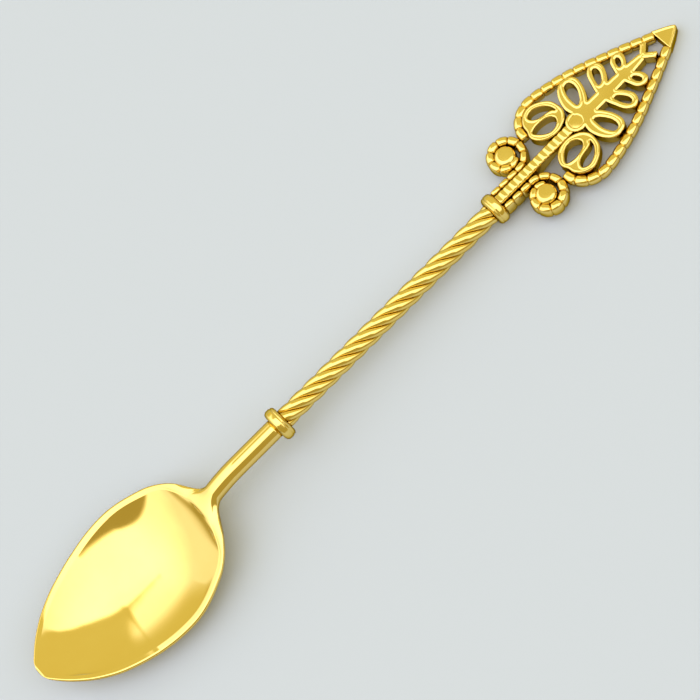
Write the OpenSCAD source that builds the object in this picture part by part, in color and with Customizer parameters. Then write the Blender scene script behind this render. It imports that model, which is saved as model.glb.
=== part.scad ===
// Gilt teaspoon: a pointed bowl, a stem of twisted wire and an openwork leaf finial.
// Millimetres. +X runs from the bowl's tip to the finial's tip and +Z is up. The spoon lies
// on its bowl and on the tip of its finial, on the plane z = 0, and is centred along X.

/* [Bowl] */
// Length of the bowl, from its tip to the start of the neck
bowl_length = 36.3; // [28:0.1:46]
// Width of the bowl over its rim
bowl_width = 22.5; // [17:0.1:30]
// Height of the lowest part of the rim above the table
bowl_depth = 4.1; // [3.6:0.1:6]
// Thickness of the bowl's wall at the bottom
bowl_wall = 1; // [0.7:0.05:1.4]
// Width of the flat on top of the rim
rim_land = 0.8; // [0.4:0.05:1.2]
// Depth of the rim's edge at the tip
rim_edge = 0.8; // [0.5:0.05:1.5]
// Rise of the rim at the tip, above its lowest part
tip_lift = 2.5; // [0.5:0.1:4]
// Depth to which the bottom is rubbed flat where the bowl rests
rest_depth = 0.08; // [0.05:0.01:0.3]

/* [Neck] */
// Length of the round neck
neck_length = 12.8; // [8:0.1:20]
// Diameter of the neck
neck_diameter = 3; // [2:0.02:4]
// Height of the neck's axis above the table, where it leaves the bowl
neck_height = 6.4; // [5.5:0.1:9]

/* [Collars] */
// Width of each collar along the stem
collar_width = 1.85; // [1.2:0.05:3]
// Diameter of the collar between the neck and the twist
lower_collar_diameter = 5.3; // [4:0.05:7]
// Diameter of the collar between the twist and the finial
upper_collar_diameter = 4.9; // [4:0.05:7]
// Radius of the collars' rounded edges
collar_edge = 0.7; // [0.2:0.05:0.85]

/* [Twist] */
// Length of the twisted stem between the collars
twist_length = 41.8; // [25:0.1:60]
// Number of strands
strand_count = 4; // [4:1:6]
// Diameter of one strand
strand_diameter = 1.2; // [0.9:0.01:1.5]
// Length in which a strand makes one full turn
twist_lead = 11.1; // [8:0.1:16]
// Turn of the first strand where it leaves the lower collar, in degrees
twist_phase = 5; // [0:1:90]
// How far the core wire goes into the neck and into the finial
core_seat = 3.5; // [2:0.1:6]

/* [Finial] */
// Length of the leaf, from its base to the finial's tip
leaf_length = 27.3; // [22:0.1:34]
// Width of the leaf over its border
leaf_width = 17.5; // [13:0.1:22]
// Width of the leaf's border wire
border_width = 1.5; // [1:0.05:1.8]
// Thickness of the leaf's border wire
border_thickness = 1.9; // [1.2:0.05:2.4]
// Height of the border's middle above the stem's axis
leaf_rise = 0.3; // [0:0.05:0.6]
// Distance from bead to bead along the border
border_bead = 1.75; // [1.2:0.05:2.5]
// Thickness of the leaf's flat openwork
leaf_thickness = 1.6; // [1:0.05:2]
// Height of the openwork's middle above the middle of the border
openwork_rise = 0.7; // [0:0.05:0.8]
// Thickness of the smooth tip
tip_thickness = 1.6; // [1:0.05:2]
// Diameter of the boss at the root of the leaf
boss_diameter = 2.1; // [1.6:0.05:2.6]
// Height of the boss's domed ends above the openwork
boss_dome = 0.15; // [0.1:0.05:0.5]
// Width of the ring that carries the boss
boss_ring_width = 0.35; // [0.2:0.05:0.6]

/* [Finial stem] */
// Length of the finial's stem, from the upper collar to the base of the leaf
stem_length = 8.7; // [7:0.1:14]
// Width of the ribbed bar in the middle
bar_width = 1.72; // [1.4:0.02:2.4]
// Thickness of the ribbed bar at the collar
bar_thickness = 3.2; // [2.4:0.05:4]
// Thickness of the ribbed bar at the boss
bar_end_thickness = 1.7; // [1.2:0.05:2.4]
// Distance from rib to rib
rib_pitch = 1; // [0.7:0.05:1.5]
// Height of a rib
rib_height = 0.16; // [0.05:0.01:0.3]
// Width of the beaded side wires
wire_width = 1.02; // [0.8:0.02:1.1]
// Thickness of the beaded side wires
wire_thickness = 3; // [2:0.05:3.4]
// Distance from bead to bead along the side wires
wire_bead = 1.6; // [1.2:0.05:2.5]
// Distance from the stem's middle to the middle of a volute
volute_offset = 4.35; // [4:0.05:5]
// Angle through which the side wires are wound into their volutes, in degrees
volute_angle = 610; // [450:10:720]

/* [Hidden] */
strand_names = [for (k = [1:strand_count]) str("strand_", k)];

// Room left for solder between pieces that lie side by side
solder_gap = 0.05;
// Room round the core wire and the boss in their bores
bore_clearance = 0.03;
// How far a cut runs past the face that it opens
overrun = 1;
$fn = 64;

// Places along the stem's axis, from the start of the neck
lower_collar_x = neck_length;
twist_x = lower_collar_x + collar_width;
upper_collar_x = twist_x + twist_length;
finial_x = upper_collar_x + collar_width;
finial_length = stem_length + leaf_length;
handle_length = finial_x + finial_length;

// The stem slopes down until the lower edge of the finial's tip meets the table
tip_under = tip_thickness / 2 - leaf_rise;
tip_over = tip_thickness / 2 + leaf_rise;
handle_drop = asin(neck_height / norm([handle_length, tip_under])) - atan2(tip_under, handle_length);
handle_reach = handle_length * cos(handle_drop) + tip_over * sin(handle_drop);
bowl_tip_x = -(bowl_length + handle_reach) / 2;
neck_x = bowl_tip_x + bowl_length;

// Curves through points chosen by hand, with that many steps from point to point
curve_steps = 6;
function ease(t) = t <= 0 ? 0 : t >= 1 ? 1 : t * t * (3 - 2 * t);
function mix(a, b, t) = a + (b - a) * t;
function spline_point(a, b, c, d, t) =
  (2 * b + (c - a) * t + (2 * a - 5 * b + 4 * c - d) * t * t + (3 * b - a - 3 * c + d) * t * t * t) / 2;
function open_curve(p) =
  let (last = len(p) - 1)
  concat(
    [for (i = [0:last - 1], s = [0:curve_steps - 1])
      spline_point(p[max(i - 1, 0)], p[i], p[i + 1], p[min(i + 2, last)], s / curve_steps)],
    [p[last]]
  );
function closed_curve(p) =
  let (n = len(p))
  [for (i = [0:n - 1], s = [0:curve_steps - 1])
    spline_point(p[(i + n - 1) % n], p[i], p[(i + 1) % n], p[(i + 2) % n], s / curve_steps)];

// Outline of the bowl: share of its length from the tip, and share of its half width
outline_shares = open_curve([
  [0, 0.045], [0.006, 0.11], [0.014, 0.165], [0.03, 0.235], [0.05, 0.312], [0.073, 0.39],
  [0.109, 0.495], [0.157, 0.613], [0.231, 0.75], [0.31, 0.85], [0.389, 0.925], [0.467, 0.976],
  [0.53, 0.997], [0.586, 1], [0.64, 0.982], [0.704, 0.928], [0.783, 0.829], [0.822, 0.76],
  [0.862, 0.66], [0.901, 0.525], [0.921, 0.425], [0.942, 0.305], [0.962, 0.205], [0.982, 0.149], [1, 0.129],
]);
// Rise of the rim to the tip, and from the bowl's side up to the top of the neck
tip_rise_shares = open_curve([
  [0, 1], [0.073, 0.77], [0.152, 0.5], [0.231, 0.28], [0.31, 0.13], [0.389, 0.04], [0.467, 0], [1, 0],
]);
neck_rise_shares = open_curve([
  [0, 0], [0.55, 0], [0.62, 0.01], [0.7, 0.06], [0.775, 0.14], [0.815, 0.2], [0.855, 0.28], [0.885, 0.36],
  [0.917, 0.47], [0.94, 0.6], [0.96, 0.74], [0.978, 0.87], [0.99, 0.95], [1, 1],
]);
// Height of the bowl's underside, as shares of the rim's edge at the tip and of the neck's underside
tip_keel_shares = open_curve([
  [0, 1], [0.033, 0.89], [0.073, 0.675], [0.152, 0.39], [0.231, 0.206], [0.31, 0.094],
  [0.389, 0.031], [0.467, 0.006], [0.53, 0], [1, 0],
]);
neck_keel_shares = open_curve([
  [0, 0], [0.55, 0], [0.62, 0.012], [0.704, 0.062], [0.783, 0.175], [0.85, 0.34], [0.901, 0.53],
  [0.941, 0.73], [0.97, 0.89], [1, 1],
]);
// Height of the hollow's floor, as a share of the way from the bottom up to the rim
floor_shares = open_curve([
  [0, 1], [0.018, 1], [0.073, 0.8], [0.152, 0.55], [0.231, 0.38], [0.31, 0.25], [0.389, 0.16],
  [0.467, 0.095], [0.53, 0.05], [0.58, 0.018], [0.62, 0], [0.66, 0.025], [0.7, 0.11], [0.74, 0.25],
  [0.78, 0.41], [0.82, 0.575], [0.855, 0.715], [0.885, 0.83], [0.917, 1], [1, 1],
]);
// Where the hollow's outline starts to close towards the neck, and where it ends
hollow_turn_share = 0.84;
hollow_end_share = 0.917;
// Least half width of the hollow's outline, as a share of the bowl's there
hollow_least_share = 0.45;
// Where the bowl's section starts to turn round for the neck
neck_blend_share = 0.88;
// Curve of the bowl's section: 1 gives a half oval and 2 a parabola
section_power = 2;
// Upright part of the rim's edge, as a share of its depth at the tip
upright_share = 0.75;
// Half of the angle that the rim's edge takes up in the round neck
rim_angle = 8;

neck_radius = neck_diameter / 2;
neck_drop = neck_height - neck_radius;
station_count = 44;
// Angles round a section: over the hollow, under the keel, and round the oval that matches both
hollow_steps = 10;
keel_steps = 12;
hollow_angles = [for (k = [0:hollow_steps]) 180 * k / hollow_steps];
keel_angles = [for (k = [0:keel_steps]) 180 * k / keel_steps];
ring_angles = concat(
  [for (k = [0:hollow_steps + 2]) mix(rim_angle, 180 - rim_angle, k / (hollow_steps + 2))],
  [for (k = [0:keel_steps]) mix(180 + rim_angle, 360 - rim_angle, k / keel_steps)]
);

function bowl_edge(u) =
  let (edge = bowl_width / 2 * lookup(u, outline_shares))
  u < hollow_turn_share ? edge : max(edge, neck_radius);
function rim_z(u) =
  bowl_depth + tip_lift * lookup(u, tip_rise_shares)
  + (neck_height + neck_radius - bowl_depth) * lookup(u, neck_rise_shares);
function keel_z(u) =
  (bowl_depth + tip_lift - rim_edge) * lookup(u, tip_keel_shares)
  + neck_drop * lookup(u, neck_keel_shares) - rest_depth * sin(180 * u);
function floor_z(u) = mix(bowl_wall, rim_z(u), lookup(u, floor_shares));
function hollow_close(u) =
  u <= hollow_turn_share ? 1
  : u >= hollow_end_share ? 0
  : sqrt(1 - pow((u - hollow_turn_share) / (hollow_end_share - hollow_turn_share), 2));
function hollow_half(u) =
  max(hollow_least_share * bowl_edge(u), (bowl_edge(u) - rim_land) * hollow_close(u));

// One section of the bowl: over the rim and the hollow from left to right, and back under the keel
function bowl_section(u) =
  let (
    edge = bowl_edge(u),
    hollow = hollow_half(u),
    top = rim_z(u),
    sunk = top - floor_z(u),
    foot = top - upright_share * rim_edge,
    keel = keel_z(u),
    middle = (top + keel) / 2,
    turn = ease((u - neck_blend_share) / (1 - neck_blend_share)),
    lean = tan(handle_drop) * turn,
    hollow_arc = [for (a = hollow_angles) [hollow * cos(a), top - sunk * pow(sin(a), section_power)]],
    keel_arc = [for (a = keel_angles)
      [-edge * cos(a), foot - (foot - keel) * pow(sin(a), section_power)]],
    spoon = concat([[edge, top]], hollow_arc, [[-edge, top]], keel_arc),
    oval = [for (a = ring_angles) [edge * cos(a), middle + (top - middle) * sin(a)]]
  )
  [for (k = [0:len(spoon) - 1])
    let (p = mix(spoon[k], oval[k], turn))
    [bowl_tip_x + bowl_length * u + lean * (p[1] - neck_height), p[0], p[1]]];

// The neck's end, square to the stem
function neck_section(along) =
  [for (a = ring_angles)
    let (up = neck_radius * sin(a))
    [
      neck_x + along * cos(handle_drop) + up * sin(handle_drop),
      neck_radius * cos(a),
      neck_height - along * sin(handle_drop) + up * cos(handle_drop),
    ]];

// A closed skin over a row of rings that have equally many points
module loft(rings) {
  n = len(rings[0]);
  last = len(rings) - 1;
  polyhedron(
    points = [for (ring = rings) each ring],
    faces = concat(
      [[for (k = [n - 1:-1:0]) k]],
      [for (i = [0:last - 1], k = [0:n - 1]) [i * n + k, i * n + (k + 1) % n, (i + 1) * n + k]],
      [for (i = [0:last - 1], k = [0:n - 1])
        [i * n + (k + 1) % n, (i + 1) * n + (k + 1) % n, (i + 1) * n + k]],
      [[for (k = [0:n - 1]) last * n + k]]
    )
  );
}

// Places what follows on the stem's axis, that far from the start of the neck
module on_stem(along) {
  translate([neck_x, 0, neck_height])
    rotate([0, handle_drop, 0])
      translate([along, 0, 0])
        children();
}

// Places what follows at the start of the finial, that far above the stem's axis
module on_finial(rise) {
  on_stem(finial_x)
    translate([0, 0, rise])
      children();
}

// A rod along the stem
module rod(length, diameter) {
  rotate([0, 90, 0])
    cylinder(h = length, d = diameter);
}

// The strands lie round the core, at the radius where their slanting sections just clear each other
lay_pass_count = 12;
strand_radius = strand_diameter / 2;
function strand_stretch(r) = norm([1, 2 * PI * r / twist_lead]);
function strand_reach(r) =
  let (a = 180 / strand_count)
  strand_radius * norm([strand_stretch(r) * cos(a), sin(a)]);
function lay_radius(r, passes) =
  passes < 1 ? r
  : lay_radius((strand_reach(r) + solder_gap / 2) / sin(180 / strand_count), passes - 1);
strand_lay = lay_radius(strand_diameter, lay_pass_count);
core_diameter = 2 * (strand_lay - strand_radius - bore_clearance);
core_bore = core_diameter + 2 * bore_clearance;

strand_side_count = 8;
// Sections in one full turn
ring_count = 16;

function strand_section(along, start) =
  let (
    turn = start + 360 * along / twist_lead,
    out = [0, cos(turn), sin(turn)],
    side = [0, -sin(turn), cos(turn)]
  )
  [for (k = [0:strand_side_count - 1])
    let (a = -360 * k / strand_side_count)
    [along, 0, 0] + out * (strand_lay + strand_radius * cos(a))
    + side * strand_radius * strand_stretch(strand_lay) * sin(a)];

// Beaded wire along a path in the finial's plane: shares of a bead's length, and how full it is there
bead_shares = [[0, 0], [0.15, 0.85], [0.5, 1], [0.85, 0.85]];
// Share of a wire's width and thickness that is lost between two beads
bead_notch_share = 0.2;
wire_side_count = 8;

function run_lengths(p) =
  [for (i = 0, d = 0; i < len(p); d = d + (i + 1 < len(p) ? norm(p[i + 1] - p[i]) : 0), i = i + 1) d];

module beaded_wire(path, width, end_width, thickness, end_thickness, bead, end_along_y = false) {
  runs = run_lengths(path);
  total = runs[len(runs) - 1];
  xs = [for (i = [0:len(path) - 1]) [runs[i], path[i][0]]];
  ys = [for (i = [0:len(path) - 1]) [runs[i], path[i][1]]];
  beads = round(total / bead);
  pitch = total / beads;
  step = pitch / len(bead_shares);
  stops = concat(
    [for (i = [0:beads - 1], b = bead_shares) [(i + b[0]) * pitch, b[1]]],
    [[total, 0]]
  );
  loft([for (stop = stops)
    let (
      d = stop[0],
      back = max(d - step, 0),
      ahead = min(d + step, total),
      way = [lookup(ahead, xs) - lookup(back, xs), lookup(ahead, ys) - lookup(back, ys)],
      along = way / norm(way),
      square_end = end_along_y && d == total,
      out = square_end ? [0, 1 / along[0]] : [-along[1], along[0]],
      full = 1 - bead_notch_share * (1 - stop[1]),
      half_w = full * mix(width, end_width, d / total) / 2,
      half_t = full * mix(thickness, end_thickness, d / total) / 2
    )
    [for (k = [0:wire_side_count - 1])
      let (a = 360 * (k + 0.5) / wire_side_count)
      [
        lookup(d, xs) + out[0] * half_w * cos(a),
        lookup(d, ys) + out[1] * half_w * cos(a),
        half_t * sin(a),
      ]]]);
}

// Leaf border: share of the leaf's length from its base, and share of its half width
border_shares = [
  [0.027, 0.52], [0.033, 0.68], [0.058, 0.82], [0.1, 0.935], [0.164, 1], [0.231, 0.987], [0.306, 0.937],
  [0.407, 0.85], [0.515, 0.725], [0.619, 0.575], [0.728, 0.416], [0.836, 0.247], [0.885, 0.168],
];
border_reach = (leaf_width - border_width) / 2;
border_path = [for (p = open_curve(border_shares)) [stem_length + leaf_length * p[0], border_reach * p[1]]];
border_end = border_path[len(border_path) - 1];
// Width and thickness of the border where it meets the tip, as shares of those at its base
border_end_share = 0.95;

// Side wire: straight along the bar, then wound into a volute
wire_y = (bar_width + wire_width) / 2 + solder_gap;
volute_start = volute_offset - wire_y;
// Closing of the volute in one turn, as a share of the wire's width
volute_pitch_share = 1.14;
volute_steps = 48;
volute_pitch = volute_pitch_share * wire_width;
function volute_radius(a) = volute_start - volute_pitch * a / 360;
// The volute's right side stands clear of the leaf's base
volute_x = border_path[0][0] - border_width / 2 - solder_gap - wire_width / 2 - volute_radius(90);
straight_steps = 8;
side_wire_path = concat(
  [for (i = [0:straight_steps - 1]) [volute_x * i / straight_steps, wire_y]],
  [for (i = [0:volute_steps])
    let (a = volute_angle * i / volute_steps)
    [volute_x + volute_radius(a) * sin(a), volute_offset - volute_radius(a) * cos(a)]]
);
// Width and thickness of the side wire at its end, as shares of those at its start
wire_end_share = 0.85;

// Height of the openwork's middle above the stem's axis
openwork_z = leaf_rise + openwork_rise;

// Boss and the ring that carries it, at the root of the palmette
boss_x_share = 0.265;
boss_x = stem_length + leaf_length * boss_x_share;
boss_ring = boss_diameter / 2 + bore_clearance + boss_ring_width;
bar_length = boss_x - boss_ring - solder_gap;

// Ribbed bar: where it starts and ends to thin down from below, as shares of its length
bar_thin_shares = [0.42, 0.75];
// One rib: shares of the pitch, and of the rib's height there
rib_shares = [[0, 0], [0.2, 1], [0.7, 1], [0.9, 0]];
bar_top = bar_thickness / 2;
function bar_depth(x) =
  mix(bar_thickness, bar_end_thickness,
    ease((x / bar_length - bar_thin_shares[0]) / (bar_thin_shares[1] - bar_thin_shares[0])));

// Inner scrolls: radii as shares of the leaf, and outlines as shares of those radii from the middle
scroll_radius_shares = [0.106, 0.358];
scroll_x_share = 0.158;
scroll_radii = [leaf_length * scroll_radius_shares[0], leaf_width / 2 * scroll_radius_shares[1]];
scroll_middle = [stem_length + leaf_length * scroll_x_share, bar_width / 2 + solder_gap + scroll_radii[1]];
scroll_rim_shares = [
  [1.03, 0], [0.93, 0.34], [0.68, 0.6], [0.35, 0.8], [0, 0.91], [-0.37, 0.87], [-0.7, 0.69], [-0.92, 0.39],
  [-0.98, 0.08], [-1.1, -0.2], [-1.06, -0.44], [-0.86, -0.72], [-0.5, -0.93], [0, -1], [0.4, -0.93],
  [0.79, -0.74], [1.03, -0.4],
];
scroll_eye_shares = [
  [-0.86, -0.16], [-0.42, -0.03], [0.18, -0.12], [0.46, -0.36], [0.36, -0.62], [0.02, -0.77],
  [-0.34, -0.72], [-0.68, -0.46],
];
scroll_comma_shares = [
  [-0.46, 0.56], [-0.2, 0.68], [0.14, 0.63], [0.48, 0.44], [0.73, 0.14], [0.79, -0.2], [0.66, -0.04],
  [0.42, 0.05], [0.1, 0.1], [-0.2, 0.18], [-0.42, 0.36],
];

// Palmette: shares of the leaf's length from its base and of its half width
midrib_shares = [[0.29, 0.115], [0.5, 0.105], [0.66, 0.085], [0.75, 0.055]];
petal_shares = [
  [
    [0.3, 0.09], [0.278, 0.3], [0.305, 0.55], [0.351, 0.675],
    [0.41, 0.655], [0.436, 0.54], [0.42, 0.31], [0.37, 0.09],
  ],
  [
    [0.455, 0.08], [0.47, 0.28], [0.492, 0.45], [0.53, 0.53],
    [0.57, 0.475], [0.575, 0.34], [0.54, 0.15], [0.5, 0.07],
  ],
  [
    [0.6, 0.06], [0.607, 0.2], [0.625, 0.327], [0.662, 0.367],
    [0.692, 0.315], [0.685, 0.19], [0.65, 0.07],
  ],
];
petal_hole_shares = [
  [[0.332, 0.19], [0.33, 0.4], [0.352, 0.58], [0.38, 0.62], [0.405, 0.56], [0.402, 0.4], [0.366, 0.22]],
  [[0.485, 0.18], [0.5, 0.36], [0.524, 0.465], [0.55, 0.43], [0.548, 0.32], [0.516, 0.18]],
  [[0.628, 0.15], [0.632, 0.25], [0.652, 0.318], [0.671, 0.28], [0.664, 0.19], [0.645, 0.13]],
];
// Small chevron that ties the midrib to the border at the tip
chevron_shares = [[0.742, 0], [0.797, 0.167], [0.822, 0.132], [0.775, 0]];

function on_leaf(p) = [stem_length + leaf_length * p[0], leaf_width / 2 * p[1]];
function backwards(p) = [for (i = [len(p) - 1:-1:0]) p[i]];
function other_side(p) = [for (q = p) if (q[1] != 0) [q[0], -q[1]]];
function both_sides(p) = concat(backwards(p), other_side(p));

// Smooth tip: its outline as shares of its length and of its half width at the border
tip_shares = [[0, 1], [0.6, 0.5], [0.9, 0.2], [1, 0.07]];
tip_x = border_end[0] + solder_gap;
tip_base = border_end[1] + border_width * border_end_share / 2;

module bowl() {
  color("gold")
    difference() {
      loft(concat(
        [for (i = [0:station_count]) bowl_section((1 - cos(180 * i / station_count)) / 2)],
        [neck_section(neck_length)]
      ));
      translate([bowl_tip_x, -bowl_width / 2, -bowl_depth])
        cube([bowl_length, bowl_width, bowl_depth]);
      on_stem(neck_length - core_seat)
        rod(core_seat + overrun, core_bore);
    }
}

module collar(along, diameter) {
  flat = collar_width - 2 * collar_edge;
  inner = diameter / 2 - collar_edge;
  color("goldenrod")
    on_stem(along)
      rotate([0, 90, 0])
        difference() {
          rotate_extrude() {
            square([inner, collar_width]);
            translate([0, collar_edge])
              square([diameter / 2, flat]);
            intersection() {
              union() {
                translate([inner, collar_edge])
                  circle(r = collar_edge);
                translate([inner, collar_width - collar_edge])
                  circle(r = collar_edge);
              }
              square([diameter, collar_width]);
            }
          }
          translate([0, 0, -overrun])
            cylinder(h = collar_width + 2 * overrun, d = core_bore);
        }
}

module lower_collar() {
  collar(lower_collar_x, lower_collar_diameter);
}

module upper_collar() {
  collar(upper_collar_x, upper_collar_diameter);
}

module core_wire() {
  color("darkgoldenrod")
    on_stem(lower_collar_x - core_seat + solder_gap)
      rod(twist_length + 2 * (collar_width + core_seat - solder_gap), core_diameter);
}

module strand(number) {
  start = twist_phase + 360 * (number - 1) / strand_count;
  rings = ceil(ring_count * twist_length / twist_lead);
  color("gold")
    on_stem(twist_x)
      loft([for (i = [0:rings]) strand_section(twist_length * i / rings, start)]);
}

module finial_stem() {
  ribs = floor(bar_length / rib_pitch);
  lead_in = bar_length - ribs * rib_pitch;
  ribbing = concat(
    [[0, 0]],
    [for (i = [0:ribs - 1], r = rib_shares) [lead_in + (i + r[0]) * rib_pitch, r[1] * rib_height]],
    [[bar_length, 0]]
  );
  top = [for (p = ribbing) [p[0], bar_top + p[1]]];
  under = [for (p = ribbing) [p[0], bar_top - bar_depth(p[0]) - p[1]]];
  color("gold")
    on_stem(finial_x)
      difference() {
        rotate([90, 0, 0])
          linear_extrude(bar_width, center = true)
            polygon(concat(backwards(top), under));
        translate([-overrun, 0, 0])
          rod(core_seat + overrun, core_bore);
      }
}

module volute() {
  beaded_wire(
    side_wire_path, wire_width, wire_width * wire_end_share,
    wire_thickness, wire_thickness * wire_end_share, wire_bead
  );
}

module volute_left() {
  color("gold")
    on_stem(finial_x)
      volute();
}

module volute_right() {
  color("gold")
    on_stem(finial_x)
      mirror([0, 1, 0])
        volute();
}

module border() {
  beaded_wire(
    border_path, border_width, border_width * border_end_share,
    border_thickness, border_thickness * border_end_share, border_bead, end_along_y = true
  );
}

module border_left() {
  color("gold")
    on_finial(leaf_rise)
      border();
}

module border_right() {
  color("gold")
    on_finial(leaf_rise)
      mirror([0, 1, 0])
        border();
}

function in_scroll(p) =
  [scroll_middle[0] + scroll_radii[0] * p[0], scroll_middle[1] + scroll_radii[1] * p[1]];

module scroll() {
  linear_extrude(leaf_thickness, center = true)
    difference() {
      polygon([for (p = closed_curve(scroll_rim_shares)) in_scroll(p)]);
      polygon([for (p = closed_curve(scroll_eye_shares)) in_scroll(p)]);
      polygon([for (p = closed_curve(scroll_comma_shares)) in_scroll(p)]);
    }
}

module scroll_left() {
  color("goldenrod")
    on_finial(openwork_z)
      scroll();
}

module scroll_right() {
  color("goldenrod")
    on_finial(openwork_z)
      mirror([0, 1, 0])
        scroll();
}

module petal_pair(outline) {
  points = [for (p = closed_curve(outline)) on_leaf(p)];
  polygon(backwards(points));
  polygon(other_side(points));
}

module palmette() {
  color("goldenrod")
    on_finial(openwork_z)
      difference() {
        linear_extrude(leaf_thickness, center = true)
          difference() {
            union() {
              translate([boss_x, 0])
                circle(r = boss_ring);
              polygon(both_sides([for (p = midrib_shares) on_leaf(p)]));
              polygon(both_sides([for (p = chevron_shares) on_leaf(p)]));
              for (outline = petal_shares) petal_pair(outline);
            }
            for (outline = petal_hole_shares) petal_pair(outline);
          }
        translate([boss_x, 0, -leaf_thickness])
          cylinder(h = 2 * leaf_thickness, d = boss_diameter + 2 * bore_clearance);
      }
}

module boss() {
  half = leaf_thickness / 2;
  rise = boss_dome;
  radius = boss_diameter / 2;
  ball = (radius * radius + rise * rise) / (2 * rise);
  color("gold")
    on_finial(openwork_z)
      translate([boss_x, 0, 0])
        intersection() {
          cylinder(h = 2 * (half + rise), r = radius, center = true);
          translate([0, 0, half + rise - ball])
            sphere(r = ball);
          translate([0, 0, ball - half - rise])
            sphere(r = ball);
        }
}

module tip_cap() {
  color("gold")
    on_finial(leaf_rise)
      linear_extrude(tip_thickness, center = true)
        polygon(both_sides([for (p = tip_shares) [mix(tip_x, finial_length, p[0]), tip_base * p[1]]]));
}

bowl();
lower_collar();
core_wire();
for (k = [1:strand_count]) strand(k);
upper_collar();
finial_stem();
volute_left();
volute_right();
border_left();
border_right();
scroll_left();
scroll_right();
palmette();
boss();
tip_cap();
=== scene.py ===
import math

import bmesh
import bpy
import numpy as np
from mathutils import Matrix, Vector
from mathutils.kdtree import KDTree


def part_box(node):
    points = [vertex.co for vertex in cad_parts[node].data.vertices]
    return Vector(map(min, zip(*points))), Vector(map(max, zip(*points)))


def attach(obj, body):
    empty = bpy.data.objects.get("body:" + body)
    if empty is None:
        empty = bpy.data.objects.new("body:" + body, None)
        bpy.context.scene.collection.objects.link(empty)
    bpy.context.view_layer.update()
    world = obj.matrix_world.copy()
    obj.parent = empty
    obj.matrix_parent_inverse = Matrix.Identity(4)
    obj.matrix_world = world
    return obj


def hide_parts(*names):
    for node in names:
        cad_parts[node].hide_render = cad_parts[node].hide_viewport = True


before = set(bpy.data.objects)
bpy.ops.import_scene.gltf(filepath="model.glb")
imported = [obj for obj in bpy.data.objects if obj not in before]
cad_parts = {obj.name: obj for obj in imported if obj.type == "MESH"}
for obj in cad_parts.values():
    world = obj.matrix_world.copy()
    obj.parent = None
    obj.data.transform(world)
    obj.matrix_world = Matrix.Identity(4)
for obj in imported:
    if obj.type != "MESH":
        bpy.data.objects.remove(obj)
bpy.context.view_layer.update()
scene = bpy.context.scene
mm = 0.001  # sizes below are in millimetres, angles in degrees


# Curves and meshes

def throughPoints(points, steps):
    # a smooth curve that passes through every point
    p = np.array(points, float)
    p = np.vstack([p[:1], p, p[-1:]])
    out = []
    for a, b, c, d in zip(p, p[1:], p[2:], p[3:]):
        for t in np.arange(steps) / steps:
            out.append((2 * b + (c - a) * t + (2 * a - 5 * b + 4 * c - d) * t ** 2
                        + (3 * b - a - 3 * c + d) * t ** 3) / 2)
    out.append(p[-2])
    return np.array(out)


def ease(t):
    t = np.clip(t, 0, 1)
    return t * t * (3 - 2 * t)


def readOff(table, u):
    return np.interp(u, table[:, 0], table[:, 1])


def addPiece(name, verts, faces, node, slot, material):
    mesh = bpy.data.meshes.new(name)
    mesh.from_pydata([tuple(v) for v in np.asarray(verts) * mm], [], faces)
    finishPiece(name, mesh, node, material)


def finishPiece(name, mesh, node, material):
    work = bmesh.new()
    work.from_mesh(mesh)
    bmesh.ops.recalc_face_normals(work, faces=work.faces)
    work.to_mesh(mesh)
    work.free()
    mesh.shade_smooth()
    piece = bpy.data.objects.new(name, mesh)
    scene.collection.objects.link(piece)
    mesh.materials.clear()
    mesh.materials.append(material)
    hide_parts(node)
    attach(piece, "root")


def skin(rings):
    # quads between equal rings, with both ends closed by a fan
    rings = np.asarray(rings, float)
    count, sides = rings.shape[:2]
    verts = np.vstack([rings.reshape(-1, 3), rings[0].mean(0), rings[-1].mean(0)])
    faces = []
    for i in range(count - 1):
        for k in range(sides):
            k2 = (k + 1) % sides
            faces.append((i * sides + k, i * sides + k2, (i + 1) * sides + k2, (i + 1) * sides + k))
    first, last = count * sides, count * sides + 1
    for k in range(sides):
        k2 = (k + 1) % sides
        faces.append((first, k2, k))
        faces.append((last, (count - 1) * sides + k, (count - 1) * sides + k2))
    return verts, faces


# The stem's own frame, from the two collars

def middle(node):
    low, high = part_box(node)
    return np.array((low + high) / 2) / mm


stem = {"collarWidth": 1.85}
lowerMiddle, upperMiddle = middle("lower_collar"), middle("upper_collar")
alongAxis = (upperMiddle - lowerMiddle) / np.linalg.norm(upperMiddle - lowerMiddle)
sideAxis = np.array((0.0, 1.0, 0.0))
riseAxis = np.cross(alongAxis, sideAxis)
twistStart = lowerMiddle + alongAxis * stem["collarWidth"] / 2
twistLength = np.linalg.norm(upperMiddle - lowerMiddle) - stem["collarWidth"]
finialStart = upperMiddle + alongAxis * stem["collarWidth"] / 2


def onStem(points, start):
    p = np.asarray(points, float)
    return start + p[..., :1] * alongAxis + p[..., 1:2] * sideAxis + p[..., 2:3] * riseAxis


# Materials

def linear(hexColour):
    # an sRGB hex value as linear light
    values = [int(hexColour[i:i + 2], 16) / 255 for i in (1, 3, 5)]
    return [v / 12.92 if v <= 0.04045 else ((v + 0.055) / 1.055) ** 2.4 for v in values] + [1.0]


def addNode(tree, kind, settings=None, inputs=None):
    node = tree.nodes.new(kind)
    for key, value in (settings or {}).items():
        setattr(node, key, value)
    for key, value in (inputs or {}).items():
        if isinstance(value, bpy.types.NodeSocket):
            tree.links.new(value, node.inputs[key])
        else:
            node.inputs[key].default_value = value
    return node


plating = {
    "edgeTint": "#9a8448",  # painted shade: the gilding's reflections are tinted darker where it curves out of sight
    "shadeReach": 0.5,  # how near a wall must be for its painted shade to reach
    "shadeRange": (0.15, 0.6), "shadeSamples": 4,
    "driftRange": (0.3, 0.7), "driftDetail": 3.0, "grainDetail": 2.0,
}
mixFactor, floatA, floatB, colourA, colourB = 0, 2, 3, 6, 7  # sockets of a Mix node
floatOut, colourOut = 0, 2


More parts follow.
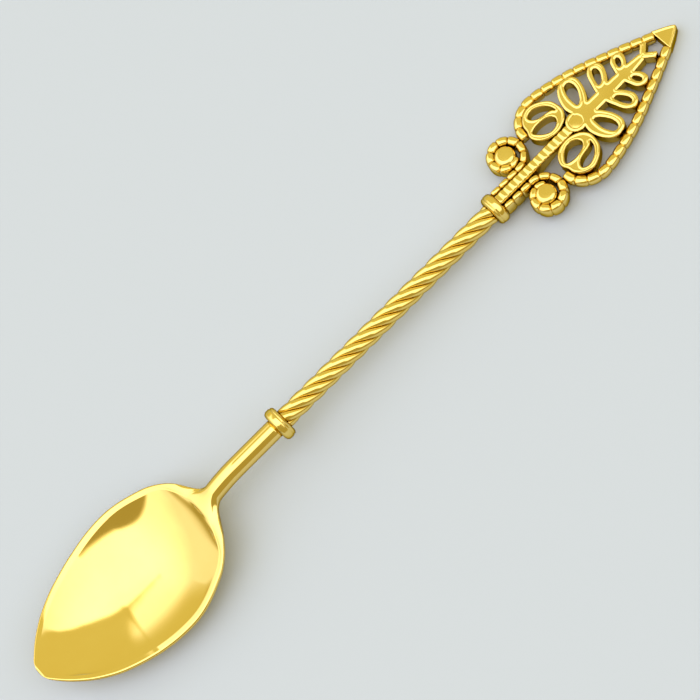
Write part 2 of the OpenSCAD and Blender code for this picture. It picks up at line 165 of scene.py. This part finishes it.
def gilding(name, light, deep, paintedShade, rough, blotch, grain, grainHeight):
    # colour and gloss drift over blotches, a fine grain breaks the mirror, and grooves get painted shade
    material = bpy.data.materials.new(name)
    material.use_nodes = True
    tree = material.node_tree
    shader = tree.nodes["Principled BSDF"]
    shader.inputs["Metallic"].default_value = 1.0
    # painted shade along the outlines, through a dark edge tint
    shader.inputs["Specular Tint"].default_value = linear(plating["edgeTint"])
    place = addNode(tree, "ShaderNodeTexCoord")
    drift = addNode(tree, "ShaderNodeTexNoise", inputs={
        "Vector": place.outputs["Object"], "Scale": 1 / (blotch * mm),
        "Detail": plating["driftDetail"]})
    tone = addNode(tree, "ShaderNodeMix", {"data_type": "RGBA"}, {
        mixFactor: drift.outputs["Fac"], colourA: linear(deep), colourB: linear(light)})
    # painted shade: where nearby walls keep the light out, the colour turns toward the darker shade colour
    shadeAO = addNode(tree, "ShaderNodeAmbientOcclusion", {"samples": plating["shadeSamples"]}, {
        "Distance": plating["shadeReach"] * mm})
    unshadedShare = addNode(tree, "ShaderNodeMapRange", inputs={
        "Value": shadeAO.outputs["AO"],
        "From Min": plating["shadeRange"][0], "From Max": plating["shadeRange"][1]})
    colour = addNode(tree, "ShaderNodeMix", {"data_type": "RGBA"}, {
        mixFactor: unshadedShare.outputs["Result"], colourA: linear(paintedShade), colourB: tone.outputs[colourOut]})
    tree.links.new(colour.outputs[colourOut], shader.inputs["Base Color"])
    gloss = addNode(tree, "ShaderNodeMapRange", inputs={
        "Value": drift.outputs["Fac"], "To Min": rough[0], "To Max": rough[1],
        "From Min": plating["driftRange"][0], "From Max": plating["driftRange"][1]})
    tree.links.new(gloss.outputs["Result"], shader.inputs["Roughness"])
    fine = addNode(tree, "ShaderNodeTexNoise", inputs={
        "Vector": place.outputs["Object"], "Scale": 1 / (grain * mm),
        "Detail": plating["grainDetail"]})
    bump = addNode(tree, "ShaderNodeBump", inputs={
        "Height": fine.outputs["Fac"], "Strength": 1.0, "Distance": grainHeight * mm})
    tree.links.new(bump.outputs["Normal"], shader.inputs["Normal"])
    return material


# blotches and grain are in millimetres; the real grain is finer, and is drawn coarser so that it shows
polishedGilt = gilding(
    "gold plate, polished", light="#f9dc84", deep="#f4d173", paintedShade="#f0cb6c",
    rough=(0.05, 0.09), blotch=6.0, grain=0.5, grainHeight=0.0005)  # a clear mirror with soft edges
wireGilt = gilding(
    "gold plate on drawn wire", light="#f8dc82", deep="#f2d06e", paintedShade="#9c8238",
    rough=(0.08, 0.14), blotch=4.0, grain=0.4, grainHeight=0.001)  # bright lines, with painted shade between the strands
castGilt = gilding(
    "gold plate on a casting", light="#f8dc82", deep="#f1cf6f", paintedShade="#a98d40",
    rough=(0.09, 0.15), blotch=3.0, grain=0.25, grainHeight=0.003)  # a softer sheen, with painted shade in the corners
print("materials ready")


# Bowl and neck

bowl = {
    "length": 36.3, "depth": 4.1, "wall": 1.0, "rimLand": 0.8, "rimEdge": 0.8, "tipLift": 2.5,
    "restDepth": 0.08,  # worn flat under the bowl
    "neckDiameter": 3.0, "neckHeight": 6.4, "neckLength": 12.8, "uprightShare": 0.75, "sectionPower": 2.0,
    "neckSag": 0.8, "sagReach": 5.0,  # the neck bends down a little into the bowl
    "outerRound": 0.34, "innerRound": 0.3, "footRound": 0.12,  # rounding of the rim's edges
    "outerShare": 0.4, "innerShare": 0.5, "footShare": 0.2, "startShare": 0.3,  # its limits on a narrow rim
    "tipRound": 0.3, "tipReach": 0.01,  # rounding of the tip, and the share of the length that it takes
    "crown": 0.09, "crownShare": 0.3,  # the rim's land is a little higher in the middle
    "curveSteps": 8, "stations": 150, "hollowSteps": 60, "keelSteps": 60, "roundSteps": 6, "neckRings": 36,
    "turnShare": 0.84, "endShare": 0.917, "leastShare": 0.45, "blendShare": 0.88, "rimAngle": 8,
    "outlineShares": [
        (0, 0.045), (0.006, 0.11), (0.014, 0.165), (0.03, 0.235), (0.05, 0.312), (0.073, 0.39),
        (0.109, 0.495), (0.157, 0.613), (0.231, 0.75), (0.31, 0.85), (0.389, 0.925), (0.467, 0.976),
        (0.53, 0.997), (0.586, 1), (0.64, 0.982), (0.704, 0.928), (0.783, 0.829), (0.822, 0.76),
        (0.862, 0.66), (0.901, 0.525), (0.921, 0.425), (0.942, 0.305), (0.962, 0.205), (0.982, 0.149),
        (1, 0.129)],
    "tipRiseShares": [
        (0, 1), (0.073, 0.77), (0.152, 0.5), (0.231, 0.28), (0.31, 0.13), (0.389, 0.04), (0.467, 0), (1, 0)],
    "neckRiseShares": [
        (0, 0), (0.55, 0), (0.62, 0.013), (0.7, 0.076), (0.775, 0.177), (0.815, 0.253), (0.855, 0.355),
        (0.885, 0.456), (0.917, 0.595), (0.94, 0.7), (0.96, 0.8), (0.978, 0.895), (0.99, 0.958), (1, 1)],
    "tipKeelShares": [
        (0, 1), (0.033, 0.89), (0.073, 0.675), (0.152, 0.39), (0.231, 0.206), (0.31, 0.094), (0.389, 0.031),
        (0.467, 0.006), (0.53, 0), (1, 0)],
    "neckKeelShares": [
        (0, 0), (0.55, 0), (0.62, 0.012), (0.704, 0.062), (0.783, 0.175), (0.85, 0.34), (0.901, 0.53),
        (0.941, 0.73), (0.97, 0.89), (1, 1)],
    "floorShares": [
        (0, 1), (0.018, 1), (0.073, 0.8), (0.152, 0.55), (0.231, 0.38), (0.31, 0.25), (0.389, 0.16),
        (0.467, 0.095), (0.53, 0.05), (0.58, 0.018), (0.62, 0), (0.66, 0.025), (0.7, 0.11), (0.74, 0.25),
        (0.78, 0.42), (0.82, 0.6), (0.855, 0.76), (0.885, 0.885), (0.905, 0.96), (0.917, 1), (1, 1)],
}
bowlLow, bowlHigh = (np.array(corner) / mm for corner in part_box("bowl"))
bowlHalf = (bowlHigh[1] - bowlLow[1]) / 2
neckRadius = bowl["neckDiameter"] / 2
rootHeight = bowl["neckHeight"] - bowl["neckSag"]
shareCurves = {key: throughPoints(bowl[key], bowl["curveSteps"]) for key in bowl if key.endswith("Shares")}
handleLean = -alongAxis[2] / alongAxis[0]


def roundedCorner(before, corner, after, steps):
    t = np.linspace(0, 1, steps)[:, None]
    return (1 - t) ** 2 * np.array(before) + 2 * t * (1 - t) * np.array(corner) + t ** 2 * np.array(after)


def bowlRing(u):
    # the section at a share of the bowl's length: rim, hollow and keel, which turn into the round neck
    edge = bowlHalf * readOff(shareCurves["outlineShares"], u)
    if u >= bowl["turnShare"]:
        edge = max(edge, neckRadius)
    top = (bowl["depth"] + bowl["tipLift"] * readOff(shareCurves["tipRiseShares"], u)
           + (rootHeight + neckRadius - bowl["depth"]) * readOff(shareCurves["neckRiseShares"], u))
    foot = top - bowl["uprightShare"] * bowl["rimEdge"]
    toTip = max(0.0, 1 - u / bowl["tipReach"])
    top -= bowl["tipRound"] * (1 - math.sqrt(1 - toTip ** 2))
    keel = ((bowl["depth"] + bowl["tipLift"] - bowl["rimEdge"]) * readOff(shareCurves["tipKeelShares"], u)
            + (rootHeight - neckRadius) * readOff(shareCurves["neckKeelShares"], u)
            - bowl["restDepth"] * math.sin(math.pi * u))
    floor = bowl["wall"] + (top - bowl["wall"]) * readOff(shareCurves["floorShares"], u)
    past = (u - bowl["turnShare"]) / (bowl["endShare"] - bowl["turnShare"])
    close = math.sqrt(max(0.0, 1 - max(0.0, past) ** 2))
    hollow = max(bowl["leastShare"] * edge, (edge - bowl["rimLand"]) * close)
    sunk, land = max(top - floor, 0.0), edge - hollow
    outer = min(bowl["outerRound"], land * bowl["outerShare"])
    inner = min(bowl["innerRound"], land * bowl["innerShare"])
    under = min(bowl["footRound"], edge * bowl["footShare"])
    crown = bowl["crown"] * min(1.0, land / bowl["rimLand"], sunk / bowl["innerRound"])

    def hollowAt(angle):
        return hollow * np.cos(angle), top - sunk * np.sin(angle) ** bowl["sectionPower"]

    def keelAt(angle):
        return -edge * np.cos(angle), foot - (foot - keel) * np.sin(angle) ** bowl["sectionPower"]

    start = math.acos(1 - min(inner, hollow * bowl["startShare"]) / hollow)
    brow, shoulder, steps = top - crown, top - crown * bowl["crownShare"], bowl["roundSteps"]
    rim = np.vstack([
        roundedCorner((edge, brow - outer), (edge, brow), (edge - outer, shoulder), steps),
        [((edge - outer + hollow + inner) / 2, top)],
        roundedCorner((hollow + inner, shoulder), (hollow, brow), hollowAt(start), steps)])
    arc = np.linspace(start, math.pi - start, bowl["hollowSteps"])[1:-1]
    upper = np.vstack([rim, np.column_stack(hollowAt(arc)), rim[::-1] * (-1, 1)])
    start = math.acos(1 - under / edge)
    corner = roundedCorner((-edge, foot + under), (-edge, foot), keelAt(start), steps)
    arc = np.linspace(start, math.pi - start, bowl["keelSteps"])[1:-1]
    lower = np.vstack([corner, np.column_stack(keelAt(arc)), corner[::-1] * (-1, 1)])
    section = np.vstack([upper, lower])
    tilt = math.radians(bowl["rimAngle"])
    angles = np.concatenate([np.linspace(tilt, math.pi - tilt, len(upper)),
                             np.linspace(math.pi + tilt, 2 * math.pi - tilt, len(lower))])
    oval = np.column_stack([edge * np.cos(angles), (top + keel) / 2 + (top - keel) / 2 * np.sin(angles)])
    turn = ease((u - bowl["blendShare"]) / (1 - bowl["blendShare"]))
    section = section * (1 - turn) + oval * turn
    x = bowlLow[0] + bowl["length"] * u + handleLean * turn * (section[:, 1] - rootHeight)
    return np.column_stack([x, section[:, 0], np.maximum(section[:, 1], 0)]), angles


stations = (1 - np.cos(np.linspace(0, math.pi, bowl["stations"] + 1))) / 2  # closer together at both ends
bowlRings = [bowlRing(u) for u in stations]
neckAngles = bowlRings[-1][1]
rings = [ring for ring, angles in bowlRings]
neckStart = lowerMiddle - alongAxis * (stem["collarWidth"] / 2 + bowl["neckLength"])
neckCircle = neckRadius * np.column_stack([0 * neckAngles, np.cos(neckAngles), np.sin(neckAngles)])
for i in range(1, bowl["neckRings"] + 1):
    x = bowl["neckLength"] * i / bowl["neckRings"]
    sag = bowl["neckSag"] * max(0.0, 1 - x / bowl["sagReach"]) ** 2
    rings.append(onStem(neckCircle + (x, 0, -sag), neckStart))
addPiece("bowlAndNeck", *skin(rings), "bowl", "gilt_polished", polishedGilt)
print("bowl ready")


# Collars

collar = {
    "lower_collar": 5.3, "upper_collar": 4.9, "edge": 0.62, "bore": 0.65, "sides": 96, "steps": 49,
    "crown": 0.05,  # the band swells a little in the middle
    "groove": 0.13, "grooveHalf": 0.09,  # sets off a thin lip
    "grooveAt": {"lower_collar": 0.42, "upper_collar": -0.36},
}


def collarRings(diameter, grooveAt):
    half, edge = stem["collarWidth"] / 2, collar["edge"]
    across = half * np.sin(np.linspace(-math.pi / 2, math.pi / 2, collar["steps"]))
    inset = np.clip(np.abs(across) - half + edge, 0, edge)
    radius = diameter / 2 - edge + np.sqrt(edge ** 2 - inset ** 2) - collar["crown"] * (across / half) ** 2
    radius -= collar["groove"] * np.exp(-((across - grooveAt) / collar["grooveHalf"]) ** 2)
    profile = [(-half, collar["bore"] / 2), *zip(across, radius), (half, collar["bore"] / 2)]
    turns = np.linspace(0, 2 * math.pi, collar["sides"], endpoint=False)
    return [[(x, r * math.cos(a), r * math.sin(a)) for a in turns] for x, r in profile]


for node in ("lower_collar", "upper_collar"):
    ring = onStem(collarRings(collar[node], collar["grooveAt"][node]), middle(node))
    addPiece(node + "Ring", *skin(ring), node, "gilt_polished", wireGilt)
print("collars ready")


# Twisted strands

twist = {
    "count": 4, "diameter": 1.2, "lead": 11.1, "phase": 5, "lay": 0.9375, "sides": 28, "ringsPerTurn": 60,
    "flatten": 1.14,  # each strand is pressed a little wider by its neighbours
}


def strandRings(start):
    slope = 2 * math.pi * twist["lay"] / twist["lead"]
    stretch = math.hypot(1, slope)
    radius = twist["diameter"] / 2
    around = np.linspace(0, 2 * math.pi, twist["sides"], endpoint=False)
    rings = []
    for x in np.linspace(0, twistLength, round(twist["ringsPerTurn"] * twistLength / twist["lead"])):
        turn = start + 2 * math.pi * x / twist["lead"]
        out = np.array((0, math.cos(turn), math.sin(turn)))
        side = np.array((0, -math.sin(turn), math.cos(turn)))
        rings.append([np.array((x, 0, 0)) + out * (twist["lay"] + radius * math.cos(a))
                      - side * radius * stretch * twist["flatten"] * math.sin(a) for a in around])
    return rings


for k in range(twist["count"]):
    ring = onStem(strandRings(math.radians(twist["phase"] + 360 * k / twist["count"])), twistStart)
    addPiece(f"strand{k + 1}Wire", *skin(ring), f"strand_{k + 1}", "gilt_polished", wireGilt)
print("strands ready")


# Beaded wires of the finial

leaf = {"stemLength": 8.7, "length": 27.3, "width": 17.5, "rise": 0.3}
border = {
    "width": 1.56, "thickness": 1.9, "endShare": 0.95, "square": 2.6, "curveSteps": 12,
    "bead": 1.75, "pillow": 0.08, "notch": 0.17, "notchReach": 0.2,
    "widthShares": [(0, 1), (1, 0.95)],
    "shares": [
        (0.027, 0.52), (0.033, 0.68), (0.058, 0.82), (0.1, 0.935), (0.164, 1), (0.231, 0.987), (0.306, 0.937),
        (0.407, 0.85), (0.515, 0.725), (0.619, 0.575), (0.728, 0.416), (0.836, 0.247), (0.885, 0.168)],
}
sideWire = {
    "width": 1.02, "thickness": 3.0, "endShare": 0.85, "square": 3.0, "gap": 0.05,
    "bead": 1.6, "pillow": 0.08, "notch": 0.16, "notchReach": 0.2,
    "widthShares": [(0, 1), (0.2, 1.08), (0.5, 1.5), (0.8, 1.42), (1, 1.0)],  # wider in the curl
    "voluteOffset": 4.35, "pitchShare": 1.14, "voluteSteps": 200, "straightSteps": 24,
    "voluteAngle": 400,  # one turn round a domed eye
    "eyeRadius": 1.65, "eyeRound": 0.75, "eyeSteps": 10, "eyeSides": 40,
}
bar = {
    "width": 1.72, "thickness": 3.2, "endThickness": 1.7, "ribPitch": 1.0, "ribHeight": 0.18, "ribPower": 0.6,
    "square": 5.0, "thinShares": (0.42, 0.75), "sides": 48, "ringsPerRib": 14,
}
beadRings, wireSides, groovePower = 18, 28, 1.5


def squareRing(halfWidth, halfHeight, power, sides):
    a = np.linspace(0, 2 * math.pi, sides, endpoint=False)
    c, s = np.cos(a), np.sin(a)
    return np.column_stack([halfWidth * np.sign(c) * np.abs(c) ** (2 / power),
                            halfHeight * np.sign(s) * np.abs(s) ** (2 / power)])


def beadedRings(path, wire, height):
    # pillow-shaped blocks with a narrow groove between them
    path = np.asarray(path)
    runs = np.concatenate([[0], np.cumsum(np.linalg.norm(np.diff(path, axis=0), axis=1))])
    beads = round(runs[-1] / wire["bead"])
    pitch = runs[-1] / beads
    inBead = (1 - np.cos(math.pi * np.arange(beadRings) / beadRings)) / 2  # closer together at the grooves
    stops = np.append((np.arange(beads)[:, None] + inBead).ravel() * pitch, runs[-1])
    line = np.column_stack([np.interp(stops, runs, path[:, 0]), np.interp(stops, runs, path[:, 1])])
    step = pitch / 4  # a heading is read a quarter of a bead either way
    ahead, behind = np.minimum(stops + step, runs[-1]), np.maximum(stops - step, 0)
    way = np.column_stack([np.interp(ahead, runs, path[:, k]) - np.interp(behind, runs, path[:, k])
                           for k in (0, 1)])
    way /= np.linalg.norm(way, axis=1)[:, None]
    rings = []
    for stop, point, heading in zip(stops, line, way):
        within = abs(2 * (stop / pitch % 1) - 1)
        groove = max(0.0, 1 - (1 - within) * pitch / 2 / wire["notchReach"])
        full = 1 - wire["pillow"] * within ** 2 - wire["notch"] * groove ** groovePower
        along = stop / runs[-1]
        wide = full * readOff(np.array(wire["widthShares"]), along) * wire["width"]
        thick = full * (1 + (wire["endShare"] - 1) * along) * wire["thickness"]
        ring = squareRing(wide / 2, thick / 2, wire["square"], wireSides)
        out = np.array((-heading[1], heading[0]))
        rings.append(np.column_stack([point + ring[:, :1] * out, height + ring[:, 1]]))
    return rings


def mirrored(rings, side):
    return np.asarray(rings) * (1, side, 1)


borderReach = (leaf["width"] - border["width"]) / 2
borderPath = throughPoints(border["shares"], border["curveSteps"]) * (leaf["length"], borderReach)
borderPath += (leaf["stemLength"], 0)
wireY = (bar["width"] + sideWire["width"]) / 2 + sideWire["gap"]
volutePitch = sideWire["pitchShare"] * sideWire["width"]
angles = np.linspace(0, math.radians(sideWire["voluteAngle"]), sideWire["voluteSteps"])
voluteRadius = sideWire["voluteOffset"] - wireY - volutePitch * angles / (2 * math.pi)
voluteX = (borderPath[0][0] - border["width"] / 2 - sideWire["gap"] - sideWire["width"] / 2
           - np.interp(math.pi / 2, angles, voluteRadius))
volutePath = np.vstack([
    np.column_stack([np.linspace(0, voluteX, sideWire["straightSteps"], endpoint=False),
                     np.full(sideWire["straightSteps"], wireY)]),
    np.column_stack([voluteX + voluteRadius * np.sin(angles),
                     sideWire["voluteOffset"] - voluteRadius * np.cos(angles)])])


def eyeRings():
    radius, curve, half = sideWire["eyeRadius"], sideWire["eyeRound"], sideWire["thickness"] / 2
    bend = np.linspace(math.pi / 2, 0, sideWire["eyeSteps"])
    profile = [(radius - curve + curve * math.cos(a), half - curve + curve * math.sin(a)) for a in bend]
    profile += [(r, -z) for r, z in reversed(profile)]
    turns = np.linspace(0, 2 * math.pi, sideWire["eyeSides"], endpoint=False)
    return [[(voluteX + r * math.cos(a), sideWire["voluteOffset"] + r * math.sin(a), z) for a in turns]
            for r, z in profile]


def together(first, second):
    offset = len(first[0])
    moved = [tuple(k + offset for k in face) for face in second[1]]
    return np.vstack([first[0], second[0]]), first[1] + moved


for name, side in (("left", 1), ("right", -1)):
    ring = onStem(mirrored(beadedRings(borderPath, border, leaf["rise"]), side), finialStart)
    addPiece(f"{name}BorderWire", *skin(ring), f"border_{name}", "gilt_openwork", castGilt)
    ring = onStem(mirrored(beadedRings(volutePath, sideWire, 0), side), finialStart)
    eye = onStem(mirrored(eyeRings(), side), finialStart)
    volute = together(skin(ring), skin(eye))
    addPiece(f"{name}VoluteWire", *volute, f"volute_{name}", "gilt_openwork", castGilt)
print("beaded wires ready")


# Ribbed bar

barLow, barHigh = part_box("finial_stem")
barLength = (barHigh.x - barLow.x) / mm / alongAxis[0]


def barRings():
    rings = []
    ribs = math.floor(barLength / bar["ribPitch"])
    leadIn = barLength - ribs * bar["ribPitch"]
    for x in np.linspace(0, barLength, round(barLength / bar["ribPitch"] * bar["ringsPerRib"])):
        start, end = bar["thinShares"]
        thin = ease((x / barLength - start) / (end - start))
        depth = bar["thickness"] + (bar["endThickness"] - bar["thickness"]) * thin
        swing = max(0.0, math.sin(math.pi * ((x - leadIn) / bar["ribPitch"] % 1)))
        rib = bar["ribHeight"] * swing ** bar["ribPower"]
        top, under = bar["thickness"] / 2 + rib, bar["thickness"] / 2 - depth - rib
        ring = squareRing(bar["width"] / 2, (top - under) / 2, bar["square"], bar["sides"])
        rings.append(np.column_stack([np.full(len(ring), x), ring[:, 0], (top + under) / 2 + ring[:, 1]]))
    return rings


addPiece("ladderBar", *skin(onStem(barRings(), finialStart)), "finial_stem", "gilt_openwork", castGilt)
print("bar ready")


# Flat openwork: the solids' outlines with rounded edges and a raised margin

openwork = {
    "weld": 0.002, "voxel": 0.07, "smoothing": 5, "swell": 0.03,
    "spread": {"palmette": 0.14, "tip_cap": 0.0}, "spreadElse": 0.04,  # how much fuller the bands are
    "thicken": 1.5,  # the lower half is this many times as deep
    "margin": 0.09, "marginAt": 0.2, "marginWidth": 0.13, "bossClear": 1.3,
    "flatNormal": 0.5, "baseNormal": 0.8,  # how steep a face may be to count as flat, or as the base
}
stemMatrix = Matrix([alongAxis.tolist(), sideAxis.tolist(), riseAxis.tolist()]).transposed().to_4x4()
stemMatrix.translation = Vector(finialStart * mm)


def castPlate(name, node, ridgeAtBase=True):
    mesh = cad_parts[node].data.copy()
    mesh.transform(stemMatrix.inverted())
    work = bmesh.new()
    work.from_mesh(mesh)
    bmesh.ops.remove_doubles(work, verts=work.verts, dist=openwork["weld"] * mm)
    work.to_mesh(mesh)
    work.free()
    helper = bpy.data.objects.new("helper", mesh)
    scene.collection.objects.link(helper)
    remesh = helper.modifiers.new("remesh", "REMESH")
    remesh.mode, remesh.voxel_size = "VOXEL", openwork["voxel"] * mm
    soften = helper.modifiers.new("soften", "SMOOTH")
    soften.iterations = openwork["smoothing"]
    made = bpy.data.meshes.new_from_object(helper.evaluated_get(bpy.context.evaluated_depsgraph_get()))
    bpy.data.objects.remove(helper)
    raiseMargin(made, ridgeAtBase, openwork["spread"].get(node, openwork["spreadElse"]))
    made.transform(stemMatrix)
    for vertex in made.vertices:
        vertex.co.z = max(vertex.co.z, 0.0)
    finishPiece(name, made, node, castGilt)


def raiseMargin(mesh, ridgeAtBase, spread):
    # a low ridge along every edge of the flat faces, but not round the boss
    count = len(mesh.vertices)
    places, normals = np.zeros(count * 3), np.zeros(count * 3)
    mesh.vertices.foreach_get("co", places)
    mesh.vertices.foreach_get("normal", normals)
    places, normals = places.reshape(-1, 3), normals.reshape(-1, 3)
    bossPlace = np.array(stemMatrix.inverted() @ Vector(middle("boss") * mm))
    clear = np.linalg.norm(places[:, :2] - bossPlace[:2], axis=1) > openwork["bossClear"] * mm
    if not ridgeAtBase:
        clear &= normals[:, 0] > -openwork["baseNormal"]
    wall = places[(np.abs(normals[:, 2]) < openwork["flatNormal"]) & clear]
    tree = KDTree(len(wall))
    for i, place in enumerate(wall):
        tree.insert((place[0], place[1], 0), i)
    tree.balance()
    places += normals * (spread, spread, openwork["swell"]) * mm
    half = (places[:, 2].max() + places[:, 2].min()) / 2
    deeper = half + (places[:, 2] - half) * openwork["thicken"]
    places[:, 2] = np.where(places[:, 2] < half, deeper, places[:, 2])
    for i in np.where(np.abs(normals[:, 2]) > openwork["flatNormal"])[0]:
        away = tree.find((places[i, 0], places[i, 1], 0))[2] / mm
        ridge = math.exp(-((away - openwork["marginAt"]) / openwork["marginWidth"]) ** 2)
        places[i, 2] += math.copysign(openwork["margin"] * mm * ridge, normals[i, 2])
    mesh.vertices.foreach_set("co", places.ravel())
    mesh.update()


castPlate("palmettePlate", "palmette")
castPlate("leftScrollPlate", "scroll_left")
castPlate("rightScrollPlate", "scroll_right")
castPlate("smoothTip", "tip_cap", ridgeAtBase=False)
print("openwork ready")


# Boss

boss = {
    "diameter": 2.1, "height": 1.6, "dome": 0.05, "edge": 0.08, "sides": 64, "steps": 8,
    "centre": 0.02, "firstShare": 0.15,  # where the dome's first rings lie
}


def bossRings():
    radius, half = boss["diameter"] / 2, boss["height"] / 2
    edge, flat = boss["edge"], radius - boss["edge"]
    profile = [(boss["centre"], half + boss["dome"])]
    for share in np.linspace(boss["firstShare"], 1, boss["steps"]):
        profile.append((flat * share, half + boss["dome"] * (1 - share ** 2)))
    for a in np.linspace(math.pi / 2, 0, boss["steps"]):
        profile.append((flat + edge * math.cos(a), half - edge + edge * math.sin(a)))
    profile += [(r, -z) for r, z in reversed(profile)]
    turns = np.linspace(0, 2 * math.pi, boss["sides"], endpoint=False)
    return np.array([[(r * math.cos(a), r * math.sin(a), z) for a in turns] for r, z in profile])


bossRing = np.einsum("ijk,kl->ijl", bossRings(), np.stack([alongAxis, sideAxis, riseAxis])) + middle("boss")
addPiece("bossRivet", *skin(bossRing), "boss", "gilt_openwork", castGilt)
# the core wire keeps its own solid
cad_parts["core_wire"].data.materials.clear()
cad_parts["core_wire"].data.materials.append(wireGilt)
print("boss ready")


# Floor, light and camera

stage = {
    "floorSize": 3.0, "paperReach": (0.16, 0.4),  # in metres
    "floorColour": "#c4cad6", "farShadeColour": "#aeb2ac", "paperRough": 0.7, "paperShine": 0.2,
    "dim": 0.88, "brightLow": 1.22, "bright": 2.25, "dark": 0.56, "glowRange": (0.35, 1.0),
    "dimColour": "#f3eaa4", "brightColour": "#fbfdff", "darkColour": "#ecdc8e",
}
softEdges = {  # a direction, and where along it the edge begins and ends
    "side": ((1, -0.25, 0), -0.15, -0.215),
    "sideTop": ((0, 1, 0), 0.95, 0.8),
    "front": ((1, 1, 0), 0.46, 0.37),
    "corner": ((0.28, 1, 0), -0.44, -0.51),
    "beside": ((1, 0, 0), 0.12, 0.02),
    "low": ((0, 0.3, 1), 0.35, 0.15),
}
view = {
    "azimuth": 5.72, "elevation": 66.1, "roll": -51.57, "distance": 346.3, "aim": (-0.8, 1.13, 3.0),
    "focalPixels": 2400.0, "imagePixels": 700, "sensor": 36.0,
    "clip": (0.01, 20.0),  # in metres
}

floorMesh = bpy.data.meshes.new("floor")
half = stage["floorSize"] / 2
corners = [(-half, -half, 0), (half, -half, 0), (half, half, 0), (-half, half, 0)]
floorMesh.from_pydata(corners, [], [(0, 1, 2, 3)])
floor = bpy.data.objects.new("floor", floorMesh)
scene.collection.objects.link(floor)
# a painted pool of light: the paper is paler within paperReach of the spoon and painted darker beyond it
paper = bpy.data.materials.new("pale matt paper")
paper.use_nodes = True
paperShader = paper.node_tree.nodes["Principled BSDF"]
spot = addNode(paper.node_tree, "ShaderNodeTexCoord")
reach = addNode(paper.node_tree, "ShaderNodeVectorMath", {"operation": "LENGTH"}, {0: spot.outputs["Object"]})
away = addNode(paper.node_tree, "ShaderNodeMapRange", {"interpolation_type": "SMOOTHSTEP"}, {
    "Value": reach.outputs["Value"], "From Min": stage["paperReach"][0], "From Max": stage["paperReach"][1]})
sheet = addNode(paper.node_tree, "ShaderNodeMix", {"data_type": "RGBA"}, {
    mixFactor: away.outputs["Result"],
    colourA: linear(stage["floorColour"]), colourB: linear(stage["farShadeColour"])})
paper.node_tree.links.new(sheet.outputs[colourOut], paperShader.inputs["Base Color"])
paperShader.inputs["Roughness"].default_value = stage["paperRough"]
paperShader.inputs["Specular IOR Level"].default_value = stage["paperShine"]
floorMesh.materials.append(paper)

# two soft walls of light, beside the bowl and in front, a dim warm rest, and a dark front corner
world = bpy.data.worlds.new("studio")
scene.world = world
world.use_nodes = True
sky = world.node_tree
place = addNode(sky, "ShaderNodeTexCoord")
way = addNode(sky, "ShaderNodeSeparateXYZ", inputs={"Vector": place.outputs["Generated"]})
part = {}
for name, (direction, begins, ends) in softEdges.items():
    along = addNode(sky, "ShaderNodeVectorMath", {"operation": "DOT_PRODUCT"}, {
        0: place.outputs["Generated"], 1: direction})
    soft = addNode(sky, "ShaderNodeMapRange", {"interpolation_type": "SMOOTHSTEP"}, {
        "Value": along.outputs["Value"], "From Min": begins, "From Max": ends})
    part[name] = soft.outputs["Result"]
sidePart = addNode(sky, "ShaderNodeMath", {"operation": "MULTIPLY"}, {0: part["side"], 1: part["sideTop"]})
either = addNode(sky, "ShaderNodeMath", {"operation": "MAXIMUM"}, {
    0: sidePart.outputs["Value"], 1: part["front"]})
darkCorner = addNode(sky, "ShaderNodeMath", {"operation": "MULTIPLY"}, {0: part["corner"], 1: part["beside"]})
dark = addNode(sky, "ShaderNodeMath", {"operation": "MAXIMUM"}, {
    0: darkCorner.outputs["Value"], 1: part["low"]})
glow = addNode(sky, "ShaderNodeMapRange", inputs={
    "Value": way.outputs["Z"], "From Min": stage["glowRange"][0], "From Max": stage["glowRange"][1],
    "To Min": stage["brightLow"], "To Max": stage["bright"]})
lit = addNode(sky, "ShaderNodeMix", {"data_type": "FLOAT"}, {
    mixFactor: either.outputs["Value"], floatA: stage["dim"], floatB: glow.outputs["Result"]})
strength = addNode(sky, "ShaderNodeMix", {"data_type": "FLOAT"}, {
    mixFactor: dark.outputs["Value"], floatA: lit.outputs[floatOut], floatB: stage["dark"]})
tint = addNode(sky, "ShaderNodeMix", {"data_type": "RGBA"}, {
    mixFactor: either.outputs["Value"],
    colourA: linear(stage["dimColour"]), colourB: linear(stage["brightColour"])})
shade = addNode(sky, "ShaderNodeMix", {"data_type": "RGBA"}, {
    mixFactor: dark.outputs["Value"],
    colourA: tint.outputs[colourOut], colourB: linear(stage["darkColour"])})
background = sky.nodes["Background"]
sky.links.new(shade.outputs[colourOut], background.inputs["Color"])
sky.links.new(strength.outputs[floatOut], background.inputs["Strength"])

camera = bpy.data.cameras.new("camera")
cameraObject = bpy.data.objects.new("camera", camera)
scene.collection.objects.link(cameraObject)
scene.camera = cameraObject
azimuth, elevation, roll = (math.radians(view[key]) for key in ("azimuth", "elevation", "roll"))
flatReach = math.cos(elevation)
back = Vector((math.sin(azimuth) * flatReach, -math.cos(azimuth) * flatReach, math.sin(elevation)))
right = Vector((0, 0, 1)).cross(back).normalized()
up = back.cross(right)
rolledRight = right * math.cos(roll) + up * math.sin(roll)
rolledUp = up * math.cos(roll) - right * math.sin(roll)
pose = Matrix([rolledRight, rolledUp, back]).transposed().to_4x4()
pose.translation = (Vector(view["aim"]) + back * view["distance"]) * mm
cameraObject.matrix_world = pose
camera.sensor_width = view["sensor"]
camera.lens = view["sensor"] * view["focalPixels"] / view["imagePixels"]
camera.clip_start, camera.clip_end = view["clip"]

scene.view_settings.view_transform = "Standard"
print("stage ready")
